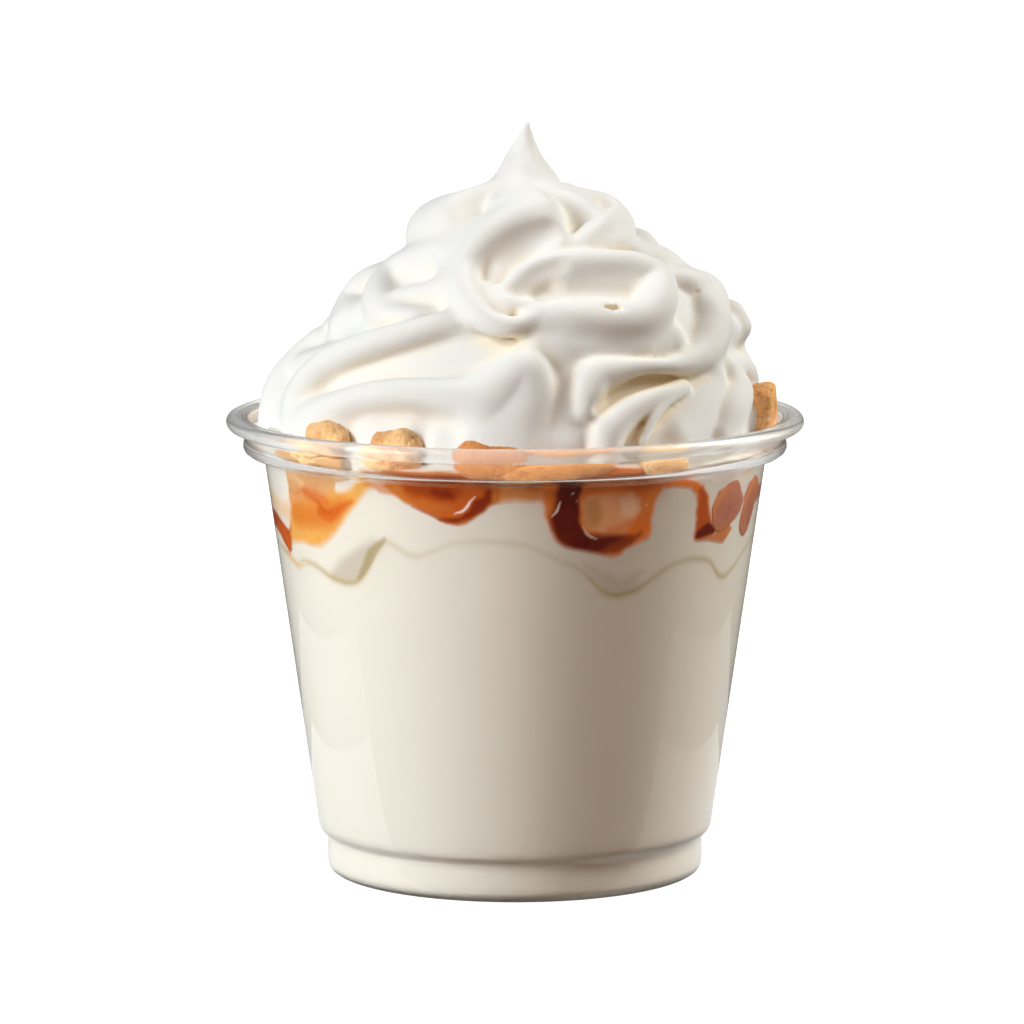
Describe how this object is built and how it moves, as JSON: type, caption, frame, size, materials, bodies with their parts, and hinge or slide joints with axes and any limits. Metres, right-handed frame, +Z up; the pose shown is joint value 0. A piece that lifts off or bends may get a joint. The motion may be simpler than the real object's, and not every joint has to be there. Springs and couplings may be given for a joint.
{
  "type": "milkshake",
  "caption": "Milkshake in a clear tapered cup with a rolled rim, cream, caramel sauce at the wall, crunchy toffee pieces and a tall piped swirl of whipped cream.",
  "frame": {"origin": "centre of the circle that the cup stands on", "axes": "+Z up through the swirl, -Y towards the front, +X to the right as seen from the front"},
  "size_m": [0.098, 0.098, 0.1276],
  "materials": {
    "clear_plastic": "clear, glossy",
    "shake": "smooth, wet",
    "cream": "soft, slightly moist",
    "caramel": "syrupy, glossy",
    "toffee": "rough, sugary"
  },
  "bodies": {
    "root": {"cup": "clear_plastic", "milkshake": "shake", "cream_layer": "cream", "caramel_sauce": "caramel", "whipped_cream": "cream", "toffee_piece_01": "toffee", "toffee_piece_02": "toffee", "toffee_piece_03": "toffee", "toffee_piece_04": "toffee", "toffee_piece_05": "toffee", "toffee_piece_06": "toffee", "toffee_piece_07": "toffee", "toffee_piece_08": "toffee", "toffee_piece_09": "toffee", "toffee_piece_10": "toffee", "toffee_piece_11": "toffee", "toffee_piece_12": "toffee", "toffee_piece_13": "toffee", "toffee_piece_14": "toffee", "toffee_piece_15": "toffee"}
  },
  "joints": []
}
